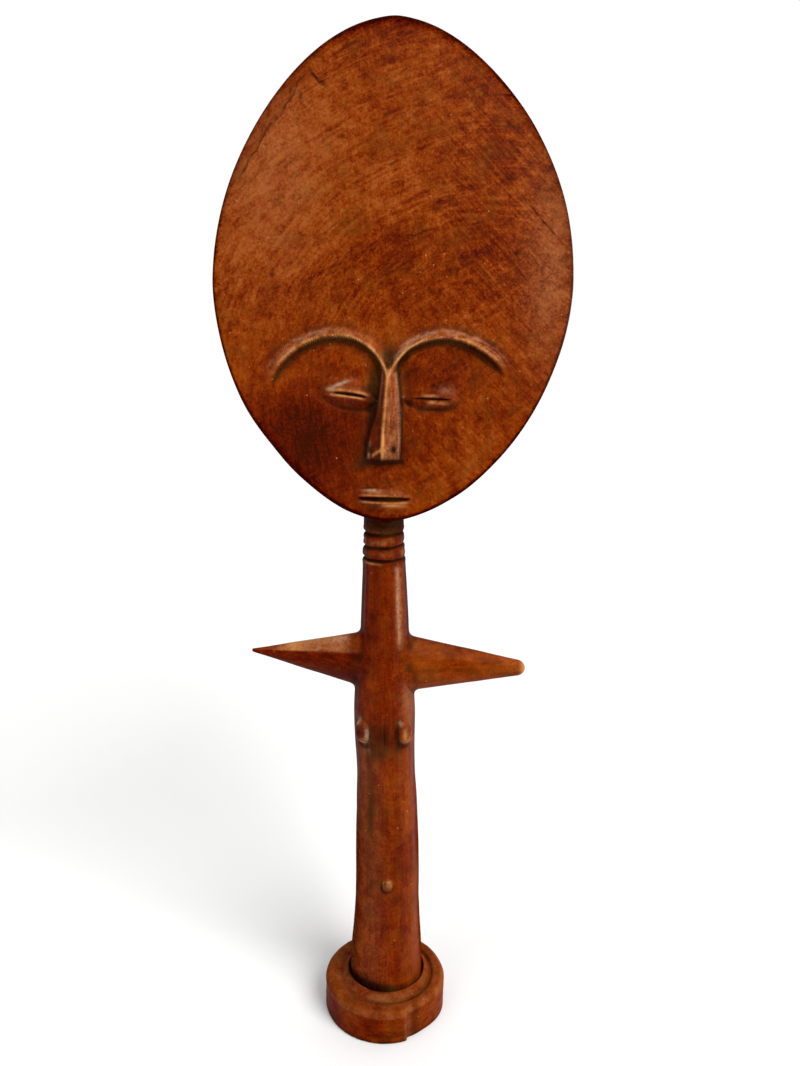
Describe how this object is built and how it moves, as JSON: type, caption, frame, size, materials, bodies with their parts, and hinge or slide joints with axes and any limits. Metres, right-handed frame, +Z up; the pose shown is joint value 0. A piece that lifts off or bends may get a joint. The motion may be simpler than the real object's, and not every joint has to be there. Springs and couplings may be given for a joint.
{
  "type": "fertility doll",
  "caption": "Standing carved wooden doll with a large flat egg-shaped head, closed eyes, arched brows, ringed neck, short cone arms and a round base.",
  "frame": {"origin": "centre of the base's flat underside", "axes": "+Z up, the doll faces -Y, +X is the right of someone looking at its face"},
  "size_m": [0.109, 0.043, 0.3276],
  "materials": {
    "stained_wood": "reddish-brown stained wood, hand carved and rubbed to a satin, with dark dirt in the cuts and worn golden edges"
  },
  "bodies": {
    "root": {"base": "stained_wood", "column": "stained_wood", "arm_left": "stained_wood", "arm_right": "stained_wood", "head": "stained_wood"}
  },
  "joints": []
}
